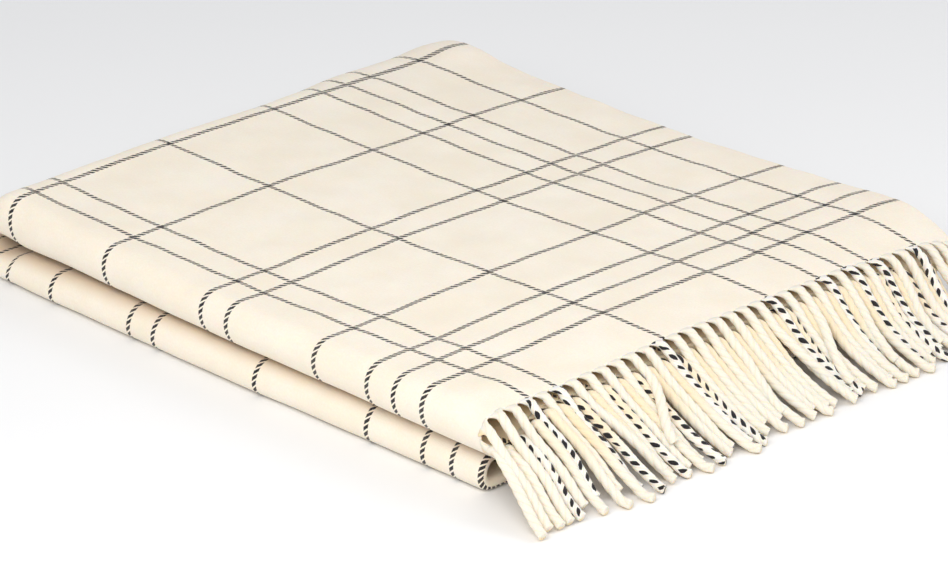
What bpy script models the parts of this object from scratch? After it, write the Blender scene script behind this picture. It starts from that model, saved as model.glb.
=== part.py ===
"""A woven wool throw, folded in half across its width and again along its length.

The cloth is one sheet. Its middle surface is worked out section by section: each section is a
hairpin that runs from one selvedge over the outer leaf to the nose, round it, and back along the
inner leaf to the other selvedge. The sections follow the cloth's length, from the fringed end on
top, round the back fold, along the floor and into the turned-in end.

Tables and driving sizes are in millimetres. Heights are above the floor. X runs towards the
fringe, Y from the nose towards the selvedges, and Z up.
"""

import bpy
import numpy as np

MM = 0.001

# Cloth
THICKNESS = 3.0
TOP = 89.0
GAP = 0.5

# Heights of the four leaves' middle surfaces
TOP_LEAF = TOP - THICKNESS / 2
UPPER_INNER_LEAF = 46.0
LOWER_INNER_LEAF = 39.0
FLOOR_LEAF = THICKNESS / 2

# Places along X
FRINGE_END = 700.0
INNER_END = 697.0
FOLD_START = 10.0
INNER_FOLD_START = 60.0
INNER_FOLD_RISE = 1.0
INNER_FOLD_FLAT_BY = 150.0
END_LIFT = 27.0
END_LIFT_ALONG = (585.0, 690.0)
END_LIFT_NEAR = (-40.0, 20.0)
END_LIFT_FAR = (420.0, 590.0)
END_LIFT_LOST = 0.75
TURN_IN = 680.0
TURN_RADIUS = 4.5
TUCK_LENGTH = 80.0

# How far each roll's nose comes forward, at places along the roll
NOSE = (
    # x, upper y, lower y
    (10, -34.5, -40.5),
    (80, -37.0, -43.5),
    (152, -41.0, -44.5),
    (304, -48.0, -47.0),
    (469, -53.0, -47.0),
    (582, -58.0, -47.0),
    (640, -60.5, -47.0),
    (708, -62.0, -46.0),
)
UPPER_REACH = 20.5
UPPER_LIFT = 2.5
LOWER_REACH = 18.0
LOWER_LIFT = -3.0
NOSE_FULLNESS = 0.9

# Where the four selvedges lie
SELVEDGE = (
    # x, top leaf, upper inner leaf, lower inner leaf, floor leaf
    (-60, 620, 624, 618, 612),
    (10, 617, 628, 622, 606),
    (110, 614, 618, 626, 610),
    (204, 612, 622, 617, 616),
    (330, 609, 630, 609, 612),
    (450, 610, 621, 615, 604),
    (560, 613, 612, 624, 607),
    (630, 613, 616, 628, 613),
    (708, 606, 619, 622, 610),
)

# The top leaf's rise and fall, along the cloth and across it
RISE_ALONG = (
    # x, rise
    (0, 3.6),
    (152, -0.6),
    (304, -3.0),
    (342, -3.0),
    (469, -0.9),
    (545, 0.5),
    (621, 2.5),
    (708, 2.0),
)
RISE_ACROSS = (
    # y, rise
    (-60, -1.1),
    (0, -1.1),
    (36, -1.0),
    (181, 2.2),
    (327, 1.2),
    (400, 0.2),
    (474, 0.0),
    (546, -1.9),
    (585, -3.0),
    (615, -6.0),
)

# How far the top leaf hangs down at the fringe, across the cloth
END_DROOP = (
    # y, droop
    (-60, 1.4),
    (40, 1.2),
    (180, 0.4),
    (327, 1.6),
    (400, 1.6),
    (437, 2.2),
    (474, 5.0),
    (516, 5.8),
    (556, 7.4),
    (580, 11.0),
    (612, 16.5),
)
DROOP_START = 630.0
STRAIGHT_FROM = 690.0

# Soft swellings and troughs of the top leaf
SWELLS = (
    # x, y, half length, half width, height
    (-10, 604, 60, 45, 8.0),
    (425, 420, 60, 26, 1.8),
    (415, 478, 50, 24, -1.6),
    (592, 585, 60, 40, 2.2),
    (240, 110, 90, 40, 1.2),
    (664, -8, 26, 38, 3.4),
)

# The back fold, from the top to the floor. Near rows lie by the nose, far rows by the selvedges
BACK_FOLD = (
    # turn, outer near x and z, outer far x and z, inner near x and z, inner far x and z
    (0.00, 10, 87.5, 10, 87.0, 10, 47.0, 60, 47.0),
    (0.15, -19, 87.5, -30, 84.5, -14, 50.0, 30, 51.0),
    (0.32, -44, 69.0, -57, 72.0, -33, 51.5, 4, 53.5),
    (0.50, -53, 44.5, -61, 46.5, -40, 43.0, -12, 43.0),
    (0.68, -48, 20.0, -55, 21.0, -33, 33.5, 4, 31.5),
    (0.85, -25, 4.0, -34, 4.5, -12, 34.0, 30, 33.5),
    (1.00, 10, 1.5, 10, 1.5, 10, 38.0, 60, 38.0),
)
# Where, along y, an inner leaf drifts from its near to its far place
DRIFT = (-10.0, 250.0)
FAR_FROM = 330.0
FAR_BY = 470.0
RISE_REACHES = -30.0
RISE_GONE_BY = 0.6
ROLL_CHANGE = (0.2, 0.8)

# Slack waves of the two inner leaves, which lie on one another
WAVES = (
    # height, length along x, length along y, phase
    (6.5, 310, 900, 0.6),
    (3.5, 165, -420, 2.1),
)
WAVES_FROM = 30.0
WAVES_BY = 220.0
CALM_FROM = 400.0
CALM_BY = 490.0

# Mesh steps
RUN_STEPS = 15
END_STEP = 0.02
TOP_CROWDING = 1.15
FLOOR_CROWDING = 0.9
FOLD_STEPS = 10
TURN_STEPS = 4
TUCK_STEPS = 2
LEAF_STEPS = 13
LEAF_CROWDING = 0.05
NOSE_STEPS = 8

# Fringe
STRANDS = 71
ROOT_SHARE = 0.74
STRIP_WIDTH = 7.0
STRAND_HALF = 3.2
TUCKED_STRAND = 100.0
TUCKED_HALF = 2.4
FALL = (
    # along, out of the top leaf, height left, out of the inner leaf, height left
    (0.00, 0, 1.00, 0, 1.00),
    (0.08, 8, 0.90, 9, 0.97),
    (0.20, 18, 0.74, 21, 0.80),
    (0.40, 37, 0.49, 40, 0.53),
    (0.60, 54, 0.28, 58, 0.31),
    (0.78, 69, 0.09, 75, 0.13),
    (0.92, 81, 0.00, 89, 0.00),
    (1.00, 88, 0.00, 97, 0.00),
)
LEAN = (
    # y of the root, drift of the tip
    (-60, -16),
    (0, 8),
    (100, 26),
    (250, 36),
    (450, 32),
    (610, 20),
)
LEAN_REACH = 80.0
LEAN_BEND = 1.2
SLOT_FIRST = -58.0
SLOT_PITCH = 9.2
SLOT_REACHED = (0.02, 0.55)
NOSE_SPREAD = 18.0
UNEVEN_FALL = 0.05
UNEVEN_SIDE = 0.6

WOOL = (0.94, 0.88, 0.76, 1.0)
FRINGE_WOOL = (0.93, 0.86, 0.72, 1.0)


def through(rows, column, at):
    """Smooth curve through one column of a table, whose first column holds the places."""
    table = np.array(rows, float)
    places = table[:, 0]
    values = table[:, column]
    slopes = np.gradient(values, places)
    at = np.clip(at, places[0], places[-1])
    i = np.clip(np.searchsorted(places, at, side="right") - 1, 0, len(places) - 2)
    width = places[i + 1] - places[i]
    t = (at - places[i]) / width
    start = (1 + 2 * t) * (1 - t) ** 2 * values[i] + t * (1 - t) ** 2 * width * slopes[i]
    end = t * t * (3 - 2 * t) * values[i + 1] - t * t * (1 - t) * width * slopes[i + 1]
    return start + end


def ease(value, low, high):
    """0 below low, 1 above high, and a smooth step between."""
    t = np.clip((np.asarray(value, float) - low) / (high - low), 0, 1)
    return t * t * (3 - 2 * t)


def unit(vectors):
    return vectors / np.linalg.norm(vectors, axis=-1, keepdims=True)


def wave(x, y):
    """Height of the inner leaves' slack waves, which fade out at the nose and over the tucked end."""
    height = np.zeros(np.broadcast(x, y).shape)
    for rise, along, across, phase in WAVES:
        height += rise * np.sin(2 * np.pi * (x / along + y / across) + phase)
    return height * ease(y, WAVES_FROM, WAVES_BY) * (1 - ease(x, CALM_FROM, CALM_BY))


def top_rise(x, y):
    """Height of the top leaf over its nominal plane."""
    height = through(RISE_ALONG, 1, x) + through(RISE_ACROSS, 1, y)
    bent = np.clip((np.minimum(x, STRAIGHT_FROM) - DROOP_START) / (STRAIGHT_FROM - DROOP_START), 0, 1)
    straight = np.maximum(x - STRAIGHT_FROM, 0) / (STRAIGHT_FROM - DROOP_START)
    height = height - (bent**2 + 2 * straight) * through(END_DROOP, 1, y)
    for cx, cy, long, wide, rise in SWELLS:
        height = height + rise * np.exp(-(((x - cx) / long) ** 2) - ((y - cy) / wide) ** 2)
    return height


def leaf_columns():
    """Shares across a leaf from its selvedge to the nose, closer towards both ends."""
    t = np.linspace(0, 1, LEAF_STEPS + 1)
    return t - LEAF_CROWDING * np.sin(2 * np.pi * t)


def hairpin(outer, inner, outer_edge, inner_edge, nose_y, reach, lift, leaf, nose):
    """Middle surface of one section: outer leaf, nose and inner leaf, selvedge to selvedge.

    outer and inner give a point (x, z) for an array of y. The nose is a half ring about its
    centre, which is reach behind the place nose_y, and lift raises its front.
    """
    centre = nose_y + THICKNESS / 2 + reach
    outer_y = outer_edge + (centre - outer_edge) * leaf
    inner_y = centre + (inner_edge - centre) * (1 - leaf[::-1])
    outer_x, outer_z = outer(outer_y)
    inner_x, inner_z = inner(inner_y)
    top = np.column_stack([outer_x, outer_y, outer_z])
    low = np.column_stack([inner_x, inner_y, inner_z])
    middle = (top[-1] + low[0]) / 2
    half = (top[-1] - low[0]) / 2
    angle = np.pi * nose[1:-1, None]
    ring = middle + half * np.cos(angle)
    ring[:, 1] -= (reach * np.sin(angle) ** NOSE_FULLNESS)[:, 0]
    ring[:, 2] += (lift * np.sin(angle) ** 2)[:, 0]
    return np.concatenate([top, ring, low])


def flat(x, height):
    """Leaf at one place along X, whose height may be a function of y."""
    def point(y):
        z = height(y) if callable(height) else np.full_like(y, height)
        return np.full_like(y, x), z
    return point


def drifting(x, inner_x, height):
    """Inner leaf that lies at x by the nose and has drifted to inner_x further back."""
    def point(y):
        at = x + (inner_x - x) * ease(y, *DRIFT)
        return at, height(at, y)
    return point


def fold_rise(x):
    """How far the inner leaves part by the back fold."""
    return INNER_FOLD_RISE * (1 - ease(x, INNER_FOLD_START, INNER_FOLD_FLAT_BY))


def end_lift(x, y):
    """How far the upper inner leaf rises towards the fringe, less by the nose and far off."""
    across = ease(y, *END_LIFT_NEAR) * (1 - END_LIFT_LOST * ease(y, *END_LIFT_FAR))
    return END_LIFT * ease(x, *END_LIFT_ALONG) * across


def upper_section(x, leaf, nose):
    """Section of the upper roll at x."""
    inner_x = INNER_END - (FRINGE_END - x) * (INNER_END - INNER_FOLD_START) / (FRINGE_END - FOLD_START)
    return hairpin(
        flat(x, lambda y: TOP_LEAF + top_rise(x, y)),
        drifting(x, inner_x, lambda x, y: UPPER_INNER_LEAF + fold_rise(x) + end_lift(x, y) + wave(x, y)),
        through(SELVEDGE, 1, x), through(SELVEDGE, 2, inner_x),
        through(NOSE, 1, x), UPPER_REACH, UPPER_LIFT, leaf, nose,
    )


def fold_section(turn, leaf, nose):
    """Section of the back fold at a share of its turn."""
    def outer(y):
        far = ease(y, FAR_FROM, FAR_BY)
        x = through(BACK_FOLD, 1, turn) * (1 - far) + through(BACK_FOLD, 3, turn) * far
        z = through(BACK_FOLD, 2, turn) * (1 - far) + through(BACK_FOLD, 4, turn) * far
        left = 1 - ease(turn, 0, RISE_GONE_BY)
        return x, z + top_rise(np.maximum(x, RISE_REACHES), y) * left

    def inner(y):
        away = ease(y, *DRIFT)
        x = through(BACK_FOLD, 5, turn) * (1 - away) + through(BACK_FOLD, 7, turn) * away
        z = through(BACK_FOLD, 6, turn) * (1 - away) + through(BACK_FOLD, 8, turn) * away
        return x, z + wave(x, y)

    bottom = ease(turn, *ROLL_CHANGE)
    return hairpin(
        outer, inner,
        through(SELVEDGE, 1, -60) * (1 - bottom) + through(SELVEDGE, 4, -60) * bottom,
        through(SELVEDGE, 2, 10) * (1 - bottom) + through(SELVEDGE, 3, 10) * bottom,
        through(NOSE, 1, 10) * (1 - bottom) + through(NOSE, 2, 10) * bottom,
        UPPER_REACH * (1 - bottom) + LOWER_REACH * bottom,
        UPPER_LIFT * (1 - bottom) + LOWER_LIFT * bottom, leaf, nose,
    )


def lower_section(x, leaf, nose, inset=0.0, inner_x=None):
    """Section of the lower roll at x, or of its turned-in end, inset from the outer one."""
    inner_x = x if inner_x is None else inner_x
    return hairpin(
        flat(x, FLOOR_LEAF + inset),
        drifting(x, inner_x, lambda x, y: LOWER_INNER_LEAF - inset - fold_rise(x) + wave(x, y)),
        through(SELVEDGE, 4, x) - inset, through(SELVEDGE, 3, x) - inset,
        through(NOSE, 2, x) + inset, LOWER_REACH - inset, LOWER_LIFT * (1 - inset / LOWER_REACH),
        leaf, nose,
    )


def cloth_surface():
    """Grid of the whole cloth's middle surface, a row for each section."""
    leaf = leaf_columns()
    nose = np.linspace(0, 1, NOSE_STEPS + 1)
    rows = []
    rows.append(upper_section(FRINGE_END, leaf, nose))
    for share in np.linspace(END_STEP, 1, RUN_STEPS + 1) ** TOP_CROWDING:
        rows.append(upper_section(FRINGE_END + (FOLD_START - FRINGE_END) * share, leaf, nose))
    for turn in np.linspace(0, 1, FOLD_STEPS + 1)[1:]:
        rows.append(fold_section(turn, leaf, nose))
    for share in np.linspace(0, 1, RUN_STEPS + 1)[1:] ** FLOOR_CROWDING:
        x = FOLD_START + (TURN_IN - FOLD_START) * share
        inner_x = INNER_FOLD_START + (TURN_IN - INNER_FOLD_START) * share
        rows.append(lower_section(x, leaf, nose, 0.0, inner_x))
    for angle in np.linspace(0, np.pi, TURN_STEPS + 1)[1:]:
        x = TURN_IN + TURN_RADIUS * np.sin(angle)
        rows.append(lower_section(x, leaf, nose, TURN_RADIUS * (1 - np.cos(angle))))
    for share in np.linspace(0, 1, TUCK_STEPS + 1)[1:]:
        rows.append(lower_section(TURN_IN - TUCK_LENGTH * share, leaf, nose, 2 * TURN_RADIUS))
    return np.array(rows)


def grid_faces(rows, columns):
    """Four-sided faces of a grid of points."""
    index = np.arange(rows * columns).reshape(rows, columns)
    corners = (index[:-1, :-1], index[1:, :-1], index[1:, 1:], index[:-1, 1:])
    return np.stack(corners, axis=-1).reshape(-1, 4)


def material(name, colour, roughness):
    made = bpy.data.materials.new(name)
    made.use_nodes = True
    shader = made.node_tree.nodes["Principled BSDF"]
    shader.inputs["Base Color"].default_value = colour
    shader.inputs["Roughness"].default_value = roughness
    shader.inputs["Metallic"].default_value = 0.0
    return made


def mesh_object(name, points, faces, made_of):
    """Object from points in millimetres."""
    mesh = bpy.data.meshes.new(name)
    mesh.from_pydata((points * MM).tolist(), [], [list(map(int, face)) for face in faces])
    mesh.materials.append(made_of)
    mesh.shade_smooth()
    made = bpy.data.objects.new(name, mesh)
    bpy.context.collection.objects.link(made)
    return made


def build_cloth(wool):
    """One sheet, thickened evenly on both sides of its middle surface."""
    surface = cloth_surface()
    rows, columns = surface.shape[:2]
    cloth = mesh_object("cloth", surface.reshape(-1, 3), grid_faces(rows, columns), wool)
    solidify = cloth.modifiers.new("thickness", "SOLIDIFY")
    solidify.thickness = THICKNESS * MM
    solidify.offset = 0.0
    solidify.use_even_offset = True
    return cloth


def even_line(section, count):
    """Points spread evenly along a section's curve, count steps from selvedge to selvedge."""
    fine = section(np.linspace(0, 1, 160), np.linspace(0, 1, 40))
    along = np.concatenate([[0], np.cumsum(np.linalg.norm(np.diff(fine, axis=0), axis=1))])
    at = np.asarray(count) * along[-1]
    return np.column_stack([np.interp(at, along, fine[:, axis]) for axis in range(3)])


def cell_borders():
    """Shares along the cloth's edge where the strip's cells meet: web, root, web, root and so on."""
    centres = (np.arange(STRANDS) + 0.5) / STRANDS
    half = ROOT_SHARE / 2 / STRANDS
    return np.concatenate([[0], np.column_stack([centres - half, centres + half]).ravel(), [1]])


def chance(number, salt):
    """Even spread from -1 to 1 that looks random and is the same each time."""
    return 2 * np.modf(np.abs(np.sin(number * 12.9898 + salt * 78.233)) * 43758.5453)[0] - 1


def falling_routes(roots, turn):
    """Routes of the end fringe's strands, from the roots down to the floor.

    turn is 0 for a strand of the top leaf and 1 for one of the inner leaf. Those of the two
    leaves land side by side, in turn.
    """
    place = np.arange(len(roots))
    rank = np.empty(len(roots))
    rank[np.argsort(roots[:, 1] - NOSE_SPREAD * np.sin(np.pi * turn))] = place
    slots = SLOT_FIRST + rank * SLOT_PITCH
    steps = np.array(FALL)[:, 0]
    rings = []
    for share in steps:
        out = through(FALL, 1, share) * (1 - turn) + through(FALL, 3, share) * turn
        left = through(FALL, 2, share) * (1 - turn) + through(FALL, 4, share) * turn
        x = roots[:, 0] + out * (1 + UNEVEN_FALL * chance(place, 1))
        beyond = np.maximum(x - FRINGE_END - STRIP_WIDTH, 0) / LEAN_REACH
        side = (slots - roots[:, 1]) * ease(share, *SLOT_REACHED)
        side = side + through(LEAN, 1, slots) * beyond**LEAN_BEND
        side = side + UNEVEN_SIDE * chance(place, 2) * np.sin(np.pi * share)
        height = STRAND_HALF + (roots[:, 2] - STRAND_HALF) * left
        rings.append(np.column_stack([x, roots[:, 1] + side, height]))
    return np.stack(rings, axis=1)


def level_routes(roots, turn):
    """Routes of the tucked fringe, which lies straight back inside the lower roll."""
    ends = roots + np.array([-TUCKED_STRAND, 0, 0])
    return np.stack([roots, ends], axis=1)


def ring_points(route, half):
    """Square rings round one strand's route, with level sides and the last ring upright."""
    ahead = unit(np.gradient(route, axis=0))
    side = unit(np.cross(ahead, [0, 0, 1.0]))
    up = np.cross(side, ahead)
    corners = ((-1, 1), (1, 1), (1, -1), (-1, -1))
    return np.stack([route + half * (a * side + b * up) for a, b in corners], axis=1)


def build_fringe(name, back_section, front_section, routes, half, wool):
    """A strip along the cloth's edge and a strand from each of its root cells, as one solid."""
    borders = cell_borders()
    back = even_line(back_section, borders)
    front = even_line(front_section, borders)
    across = unit(np.gradient(front, axis=0))
    along = unit(front - back)
    lift = unit(np.cross(across, along)) * THICKNESS / 2
    columns = len(borders)
    strip = np.concatenate([back + lift, front + lift, front - lift, back - lift])
    points = [strip]
    faces = []
    top_back, top_front, low_front, low_back = (np.arange(columns) + i * columns for i in range(4))
    rails = (top_back, top_front, low_front, low_back)
    for k in range(columns - 1):
        faces.append((top_back[k], top_back[k + 1], top_front[k + 1], top_front[k]))
        faces.append((low_front[k], low_front[k + 1], low_back[k + 1], low_back[k]))
        faces.append((low_back[k], low_back[k + 1], top_back[k + 1], top_back[k]))
        if k % 2 == 0:
            faces.append((top_front[k], top_front[k + 1], low_front[k + 1], low_front[k]))
    faces.append([rail[0] for rail in rails])
    faces.append([rail[-1] for rail in reversed(rails)])

    roots = even_line(front_section, (np.arange(STRANDS) + 0.5) / STRANDS)
    foremost = np.argmin(roots[:, 1])
    turn = ease(np.arange(STRANDS), foremost - 2, foremost + 4)
    used = 4 * columns
    for k, route in enumerate(routes(roots, turn)):
        rings = ring_points(route, half)[1:]
        points.append(rings.reshape(-1, 3))
        left, right = 2 * k + 1, 2 * k + 2
        ring = [top_front[left], top_front[right], low_front[right], low_front[left]]
        beside = np.cross(along[left], [0, 0, 1.0]) @ lift[left]
        quarter_turns = round(np.arctan2(beside, lift[left, 2]) / (np.pi / 2))
        for _ in rings:
            new = [used + (corner + quarter_turns) % 4 for corner in range(4)]
            for a in range(4):
                b = (a + 1) % 4
                faces.append((ring[a], ring[b], new[b], new[a]))
            ring = new
            used += 4
        faces.append(tuple(ring))
    return mesh_object(name, np.concatenate(points), faces, wool)


def build_end_fringe(wool):
    def back(leaf, nose):
        return upper_section(FRINGE_END + GAP, leaf, nose)

    def front(leaf, nose):
        return upper_section(FRINGE_END + GAP + STRIP_WIDTH, leaf, nose)
    return build_fringe("end_fringe", back, front, falling_routes, STRAND_HALF, wool)


def build_tucked_fringe(wool):
    end = TURN_IN - TUCK_LENGTH

    def back(leaf, nose):
        return lower_section(end - GAP, leaf, nose, 2 * TURN_RADIUS)[::-1]

    def front(leaf, nose):
        return lower_section(end - GAP - STRIP_WIDTH, leaf, nose, 2 * TURN_RADIUS)[::-1]
    return build_fringe("tucked_fringe", back, front, level_routes, TUCKED_HALF, wool)


def stand_on_origin(objects):
    """Moves the whole thing so that the origin is under the middle of its box, on the floor."""
    view = bpy.context.evaluated_depsgraph_get()
    corners = []
    for one in objects:
        mesh = one.evaluated_get(view).to_mesh()
        flat_points = np.empty(3 * len(mesh.vertices))
        mesh.vertices.foreach_get("co", flat_points)
        corners += [flat_points.reshape(-1, 3).min(axis=0), flat_points.reshape(-1, 3).max(axis=0)]
    low = np.min(corners, axis=0)
    high = np.max(corners, axis=0)
    for one in objects:
        one.location = (-(low[0] + high[0]) / 2, -(low[1] + high[1]) / 2, -low[2])


def clear_scene():
    for old in list(bpy.data.objects):
        bpy.data.objects.remove(old)


clear_scene()
wool = material("wool", WOOL, 0.95)
fringe_wool = material("fringe_wool", FRINGE_WOOL, 0.9)
stand_on_origin([
    build_cloth(wool),
    build_end_fringe(fringe_wool),
    build_tucked_fringe(fringe_wool),
])
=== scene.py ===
# %% [markdown]
# # A folded wool throw
#
# A throw is a loose blanket of brushed wool with a twisted fringe at both ends. This one is
# folded in half across its width and again along its length, so that it lies as two soft rolls,
# with one fringe hanging over the end and the other tucked away inside.
#
# The solid model gives the fold its true shape. Here the cloth is worked out again on a finer
# grid, because weave, stripes and yarn need a surface that knows where each thread lies.

# %% The solid model
import math

import bpy
import numpy as np
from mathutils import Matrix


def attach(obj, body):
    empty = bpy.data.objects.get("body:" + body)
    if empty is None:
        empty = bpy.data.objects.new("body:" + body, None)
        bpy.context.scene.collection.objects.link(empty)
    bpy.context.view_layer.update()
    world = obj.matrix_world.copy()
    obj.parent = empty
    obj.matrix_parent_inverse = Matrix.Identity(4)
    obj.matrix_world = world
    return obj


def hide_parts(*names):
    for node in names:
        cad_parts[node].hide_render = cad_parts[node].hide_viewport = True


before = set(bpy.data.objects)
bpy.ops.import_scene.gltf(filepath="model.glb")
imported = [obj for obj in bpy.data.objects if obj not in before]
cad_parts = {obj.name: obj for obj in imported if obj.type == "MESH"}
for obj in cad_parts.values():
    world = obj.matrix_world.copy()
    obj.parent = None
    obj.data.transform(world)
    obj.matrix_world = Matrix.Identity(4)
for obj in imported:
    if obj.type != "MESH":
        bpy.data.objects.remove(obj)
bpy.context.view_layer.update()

# %% [markdown]
# ## The fold's sizes
#
# The real cloth isn't folded with a ruler: the noses of the two rolls run a little askew, the
# selvedges wander, and the upper leaf swells and sinks. A few short tables of places and sizes
# hold that, and a smooth curve through each column fills in between. All sizes are in
# millimetres, X towards the free fringe, Y from the noses to the selvedges, Z above the floor.

# %% Sizes of the fold
THICKNESS = 3.0
TOP_LEAF, UPPER_INNER_LEAF, LOWER_INNER_LEAF, FLOOR_LEAF = 87.5, 46.0, 39.0, 1.5
FRINGE_END, INNER_END, FOLD_START = 700.0, 697.0, 10.0
INNER_FOLD_START, INNER_FOLD_RISE, INNER_FOLD_FLAT_BY = 60.0, 1.0, 150.0
END_LIFT, END_LIFT_ALONG, END_LIFT_NEAR = 27.0, (585.0, 690.0), (-40.0, 20.0)
END_LIFT_FAR, END_LIFT_LOST = (420.0, 590.0), 0.75
TURN_IN, TURN_RADIUS, TUCK_LENGTH = 680.0, 4.5, 80.0
UPPER_REACH, UPPER_LIFT, LOWER_REACH, LOWER_LIFT, NOSE_FULLNESS = 20.5, 2.5, 18.0, -3.0, 0.9
NOSE = (
    # x, upper y, lower y
    (10, -34.5, -40.5), (80, -37.0, -43.5), (152, -41.0, -44.5), (304, -48.0, -47.0),
    (469, -53.0, -47.0), (582, -58.0, -47.0), (640, -60.5, -47.0), (708, -62.0, -46.0),
)
SELVEDGE = (
    # x, top leaf, upper inner leaf, lower inner leaf, floor leaf
    (-60, 620, 624, 618, 612), (10, 617, 628, 622, 606), (110, 614, 618, 626, 610),
    (204, 612, 622, 617, 616), (330, 609, 630, 609, 612), (450, 610, 621, 615, 604),
    (560, 613, 612, 624, 607), (630, 613, 616, 628, 613), (708, 606, 619, 622, 610),
)
RISE_ALONG = (
    # x, rise
    (0, 3.6), (152, -0.6), (304, -3.0), (342, -3.0), (469, -0.9), (545, 0.5), (621, 2.5), (708, 2.0),
)
RISE_ACROSS = (
    # y, rise
    (-60, -1.1), (0, -1.1), (36, -1.0), (181, 2.2), (327, 1.2), (400, 0.2), (474, 0.0), (546, -1.9),
    (585, -3.0), (615, -6.0),
)
END_DROOP = (
    # y, droop at the fringe
    (-60, 1.4), (40, 1.2), (180, 0.4), (327, 1.6), (400, 1.6), (437, 2.2), (474, 5.0), (516, 5.8),
    (556, 7.4), (580, 11.0), (612, 16.5),
)
DROOP_START, STRAIGHT_FROM = 630.0, 690.0
SWELLS = (
    # x, y, half length, half width, height
    (-10, 604, 60, 45, 8.0), (425, 420, 60, 26, 1.8), (415, 478, 50, 24, -1.6),
    (592, 585, 60, 40, 2.2), (240, 110, 90, 40, 1.2), (664, -8, 26, 38, 3.4),
)
BACK_FOLD = (
    # turn, outer near x and z, outer far x and z, inner near x and z, inner far x and z
    (0.00, 10, 87.5, 10, 87.0, 10, 47.0, 60, 47.0), (0.15, -19, 87.5, -30, 84.5, -14, 50.0, 30, 51.0),
    (0.32, -44, 69.0, -57, 72.0, -33, 51.5, 4, 53.5), (0.50, -53, 44.5, -61, 46.5, -40, 43.0, -12, 43.0),
    (0.68, -48, 20.0, -55, 21.0, -33, 33.5, 4, 31.5), (0.85, -25, 4.0, -34, 4.5, -12, 34.0, 30, 33.5),
    (1.00, 10, 1.5, 10, 1.5, 10, 38.0, 60, 38.0),
)
DRIFT = (-10.0, 250.0)
FAR_FROM, FAR_BY, RISE_REACHES, RISE_GONE_BY, ROLL_CHANGE = 330.0, 470.0, -30.0, 0.6, (0.2, 0.8)
FOLD_LENGTH, SELVEDGE_BEHIND = 170.0, -60.0
WAVES = (
    # height, length along x, length along y, phase
    (6.5, 310, 900, 0.6), (3.5, 165, -420, 2.1),
)
WAVES_FROM, WAVES_BY, CALM_FROM, CALM_BY = 30.0, 220.0, 400.0, 490.0
SINK = (
    # x, how far the inner leaves sink by the noses
    (10, 8.0), (90, 6.2), (180, 4.8), (325, 4.2), (450, 3.2), (610, 1.0), (708, 0.0),
)
SINK_ACROSS = (20.0, 200.0)
SHIFT = np.array([-0.3729, -0.2748, 0.0])


def through(rows, column, at):
    """Smooth curve through one column of a table, whose first column holds the places.

    Between two rows it is the cubic that meets both values and both slopes.
    """
    table = np.array(rows, float)
    places = table[:, 0]
    values = table[:, column]
    slopes = np.gradient(values, places)
    at = np.clip(at, places[0], places[-1])
    i = np.clip(np.searchsorted(places, at, side="right") - 1, 0, len(places) - 2)
    width = places[i + 1] - places[i]
    t = (at - places[i]) / width
    start = (1 + 2 * t) * (1 - t) ** 2 * values[i] + t * (1 - t) ** 2 * width * slopes[i]
    end = t * t * (3 - 2 * t) * values[i + 1] - t * t * (1 - t) * width * slopes[i + 1]
    return start + end


def ease(value, low, high):
    """0 below low, 1 above high, and t squared times (3 - 2 t) between."""
    t = np.clip((np.asarray(value, float) - low) / (high - low), 0, 1)
    return t * t * (3 - 2 * t)


print("nose of the upper roll at the fringe:", round(float(through(NOSE, 1, 700)), 1), "mm")

# %% [markdown]
# ## One section of the fold
#
# Cut the folded throw across and each roll shows a hairpin: the outer leaf comes forward from
# its selvedge, turns round the nose, and runs back as the inner leaf. The whole cloth is a row
# of such hairpins, carried along the top, round the back fold and along the floor. It could be
# draped by a simulation, but a simulated pile never lands on the photograph's creases, so the
# hairpins are placed one by one.

# %% Waves and rises
def wave(x, y):
    """Slack waves of the inner leaves: two crossed sines, faded at the nose and the tucked end."""
    height = np.zeros(np.broadcast(x, y).shape)
    for rise, along, across, phase in WAVES:
        height += rise * np.sin(2 * np.pi * (x / along + y / across) + phase)
    return height * ease(y, WAVES_FROM, WAVES_BY) * (1 - ease(x, CALM_FROM, CALM_BY))


RIPPLES = (
    # height, length along x, length along y, phase
    (0.32, 96, 310, 0.4), (0.26, -61, 140, 1.9), (0.20, 148, -73, 3.1), (0.14, 43, 52, 5.0),
)
BEND, BEND_ALONG, BEND_ACROSS = 0.6, 87, 59


def ripple(x, y):
    """Faint unevenness of brushed wool that lies loose: four crossed sines, under a millimetre.

    One more sine bends them, so that they don't look ruled.
    """
    bend = BEND * np.sin(x / BEND_ALONG + y / BEND_ACROSS)
    return sum(
        rise * np.sin(2 * np.pi * (x / along + y / across) + phase + bend)
        for rise, along, across, phase in RIPPLES
    )


def top_rise(x, y):
    """Height of the top leaf over its plane.

    It is the rise along plus the rise across, less the droop, which grows with the square of
    the way from its start and runs on straight past the end, plus the swells and the ripple.
    """
    height = through(RISE_ALONG, 1, x) + through(RISE_ACROSS, 1, y)
    bent = np.clip((np.minimum(x, STRAIGHT_FROM) - DROOP_START) / (STRAIGHT_FROM - DROOP_START), 0, 1)
    straight = np.maximum(x - STRAIGHT_FROM, 0) / (STRAIGHT_FROM - DROOP_START)
    height = height - (bent**2 + 2 * straight) * through(END_DROOP, 1, y)
    for cx, cy, long, wide, rise in SWELLS:
        height = height + rise * np.exp(-(((x - cx) / long) ** 2) - ((y - cy) / wide) ** 2)
    return height + ripple(x, y)


print("top leaf in the middle:", round(float(TOP_LEAF + top_rise(350, 280)), 1), "mm high")


# %% Hairpin
WAVER, WAVER_LENGTH, WAVER_START, WAVER_FADES = 0.7, 38, 0.8, 101
QUICK_WAVER, QUICK_LENGTH = 0.4, 17


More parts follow.
